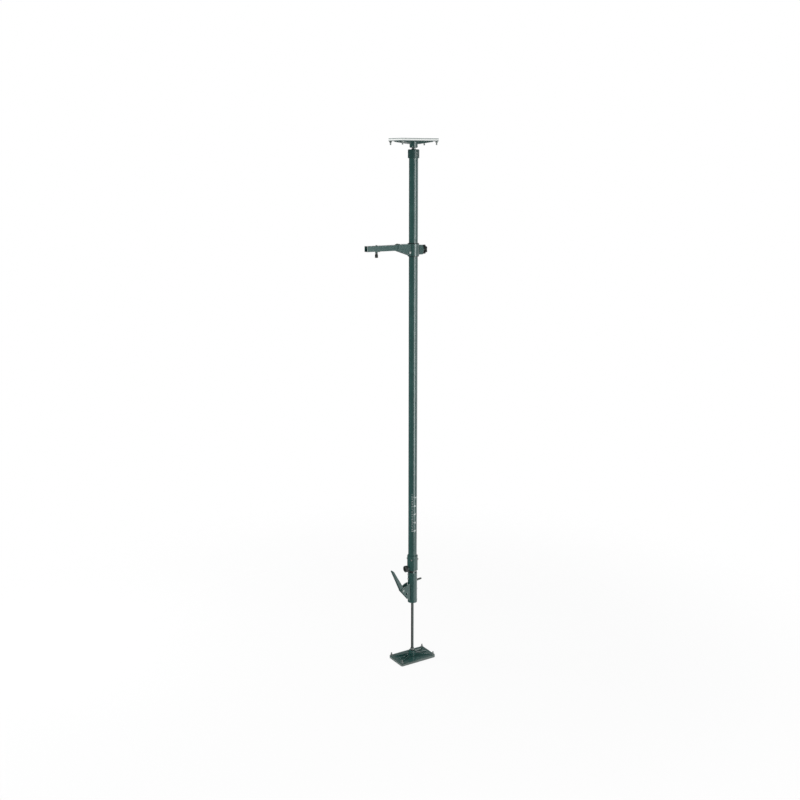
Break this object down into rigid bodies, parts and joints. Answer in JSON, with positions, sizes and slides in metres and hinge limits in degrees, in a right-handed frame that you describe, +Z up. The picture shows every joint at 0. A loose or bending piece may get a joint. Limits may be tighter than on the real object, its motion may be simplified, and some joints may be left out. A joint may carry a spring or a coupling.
{
  "type": "adjustable steel prop",
  "caption": "Floor-to-ceiling telescopic steel prop with swivel end plates, a pump-lever jack on a plain rod and a clamped side arm with a square receiver.",
  "frame": {"origin": "centre of the foot pad's underside, on the mast's axis", "axes": "+Z up along the mast, +X along the long side of the end plates and away from the arm"},
  "size_m": [0.418, 0.14, 3],
  "materials": {
    "green_paint": "semi-gloss powder coat",
    "dark_cap_paint": "semi-gloss powder coat",
    "bright_zinc": "bright zinc plate",
    "fastener_zinc": "dull zinc plate",
    "spring_steel": "oiled wire",
    "black_plastic": "fine texture",
    "cup_plastic": "natural",
    "brass": "turned",
    "grey_rubber": "matt",
    "pale_rubber": "matt"
  },
  "bodies": {
    "foot": {"foot_pad": "grey_rubber", "foot_plate": "green_paint", "foot_ribs": "green_paint", "foot_hub": "green_paint", "foot_retainer": "green_paint", "foot_bolts": "fastener_zinc", "foot_nuts": "fastener_zinc"},
    "foot_cup": {"foot_ball_cup": "cup_plastic"},
    "rod": {"plain_rod": "bright_zinc", "rod_ball": "bright_zinc", "rod_collar": "fastener_zinc", "rod_stop_ring": "fastener_zinc"},
    "jack": {"jack_housing": "green_paint", "lever_bracket": "green_paint", "lower_guide": "fastener_zinc", "spring_partition": "fastener_zinc", "upper_guide": "fastener_zinc", "tube_sleeve": "green_paint", "inner_tube": "bright_zinc", "slide_ring": "black_plastic", "housing_screws": "fastener_zinc", "lever_pin": "fastener_zinc", "lever_pin_clip": "fastener_zinc", "brake_pin": "fastener_zinc", "drive_spring": "spring_steel", "brake_spring": "spring_steel"},
    "drive": {"drive_plate": "bright_zinc"},
    "lever": {"pump_lever": "green_paint", "lever_toe": "fastener_zinc"},
    "brake": {"brake_plate": "bright_zinc"},
    "mast": {"mast_tube": "green_paint", "mast_bush": "black_plastic", "clamp_collar": "green_paint", "collar_screws": "fastener_zinc", "top_cap": "dark_cap_paint", "cap_screws": "fastener_zinc", "head_spindle": "bright_zinc", "head_ball": "bright_zinc", "spindle_nut": "fastener_zinc"},
    "collar_clamp": {"collar_pad": "brass"},
    "collar_grip": {"collar_knob": "black_plastic", "collar_stud": "bright_zinc"},
    "liner": {"arm_liner": "black_plastic"},
    "arm": {"arm_clamp": "green_paint", "arm_tube": "green_paint", "cross_bolt": "fastener_zinc", "arm_screws": "fastener_zinc"},
    "arm_press": {"arm_pad": "brass"},
    "star_grip": {"star_knob": "black_plastic", "star_stud": "bright_zinc"},
    "lock_press": {"lock_tip": "brass"},
    "lock_grip": {"lock_knob": "black_plastic", "lock_stud": "bright_zinc"},
    "head_cup": {"head_ball_cup": "cup_plastic"},
    "head": {"head_pad": "pale_rubber", "head_plate": "green_paint", "head_ribs": "green_paint", "head_hub": "green_paint", "head_retainer": "green_paint", "head_bolts": "fastener_zinc"}
  },
  "joints": [
    {"name": "foot_tilt_side", "type": "hinge", "parent": "foot", "child": "foot_cup", "pos_m": [0, 0, 0.036], "axis": [1, 0, 0], "range_deg": [-8, 8]},
    {"name": "foot_tilt_end", "type": "hinge", "parent": "foot_cup", "child": "rod", "pos_m": [0, 0, 0.036], "axis": [0, 1, 0], "range_deg": [-8, 8]},
    {"name": "fine_extension", "type": "slide", "parent": "rod", "child": "jack", "axis": [0, 0, 1], "range_m": [-0.285, 0.18]},
    {"name": "drive_plate_slide", "type": "slide", "parent": "jack", "child": "drive", "axis": [0, 0, -1], "range_m": [0, 0.0218], "stiffness_N_per_m": 260, "springref_m": -0.02, "deforming": ["drive_spring"]},
    {"name": "pump_lever", "type": "hinge", "parent": "jack", "child": "lever", "pos_m": [-0.0735, 0, 0.444], "axis": [0, 1, 0], "range_deg": [0, 27], "stiffness_Nm_per_rad": 0.6, "springref_deg": -28.65, "deforming": ["drive_spring"]},
    {"name": "brake_release", "type": "hinge", "parent": "jack", "child": "brake", "pos_m": [-0.019, 0, 0.47804], "axis": [0, 1, 0], "range_deg": [0, 8], "stiffness_Nm_per_rad": 0.6, "springref_deg": -11.46, "deforming": ["brake_spring"]},
    {"name": "coarse_extension", "type": "slide", "parent": "jack", "child": "mast", "axis": [0, 0, 1], "range_m": [-0.012, 0.65]},
    {"name": "collar_clamp_slide", "type": "slide", "parent": "mast", "child": "collar_clamp", "axis": [-1, 0, 0], "range_m": [0, 0.0014]},
    {"name": "collar_knob_spin", "type": "hinge", "parent": "collar_clamp", "child": "collar_grip", "pos_m": [-0.04, 0, 0.568], "axis": [-1, 0, 0], "range_deg": [0, 330]},
    {"name": "arm_height", "type": "slide", "parent": "mast", "child": "liner", "axis": [0, 0, 1], "range_m": [-1.72, 0.45]},
    {"name": "arm_swivel", "type": "hinge", "parent": "liner", "child": "arm", "pos_m": [0, 0, 2.41], "axis": [0, 0, 1], "range_deg": [-180, 180]},
    {"name": "arm_clamp_slide", "type": "slide", "parent": "arm", "child": "arm_press", "axis": [1, 0, 0], "range_m": [0, 0.0019]},
    {"name": "star_knob_spin", "type": "hinge", "parent": "arm_press", "child": "star_grip", "pos_m": [0.06, 0, 2.41], "axis": [1, 0, 0], "range_deg": [0, 330]},
    {"name": "lock_slide", "type": "slide", "parent": "arm", "child": "lock_press", "axis": [0, 0, 1], "range_m": [0, 0.0028]},
    {"name": "lock_knob_spin", "type": "hinge", "parent": "lock_press", "child": "lock_grip", "pos_m": [-0.235, 0, 2.39], "axis": [0, 0, 1], "range_deg": [0, 720]},
    {"name": "head_tilt_side", "type": "hinge", "parent": "mast", "child": "head_cup", "pos_m": [0, 0, 2.964], "axis": [1, 0, 0], "range_deg": [-8, 8]},
    {"name": "head_tilt_end", "type": "hinge", "parent": "head_cup", "child": "head", "pos_m": [0, 0, 2.964], "axis": [0, 1, 0], "range_deg": [-8, 8]}
  ],
  "couplings": [
    {"joint": "drive_plate_slide", "follows": "pump_lever", "m_per_rad": 0.046},
    {"joint": "collar_clamp_slide", "follows": "collar_knob_spin", "m_per_rad": 0.00023873},
    {"joint": "arm_clamp_slide", "follows": "star_knob_spin", "m_per_rad": 0.00031831},
    {"joint": "lock_slide", "follows": "lock_knob_spin", "m_per_rad": 0.00019894}
  ]
}
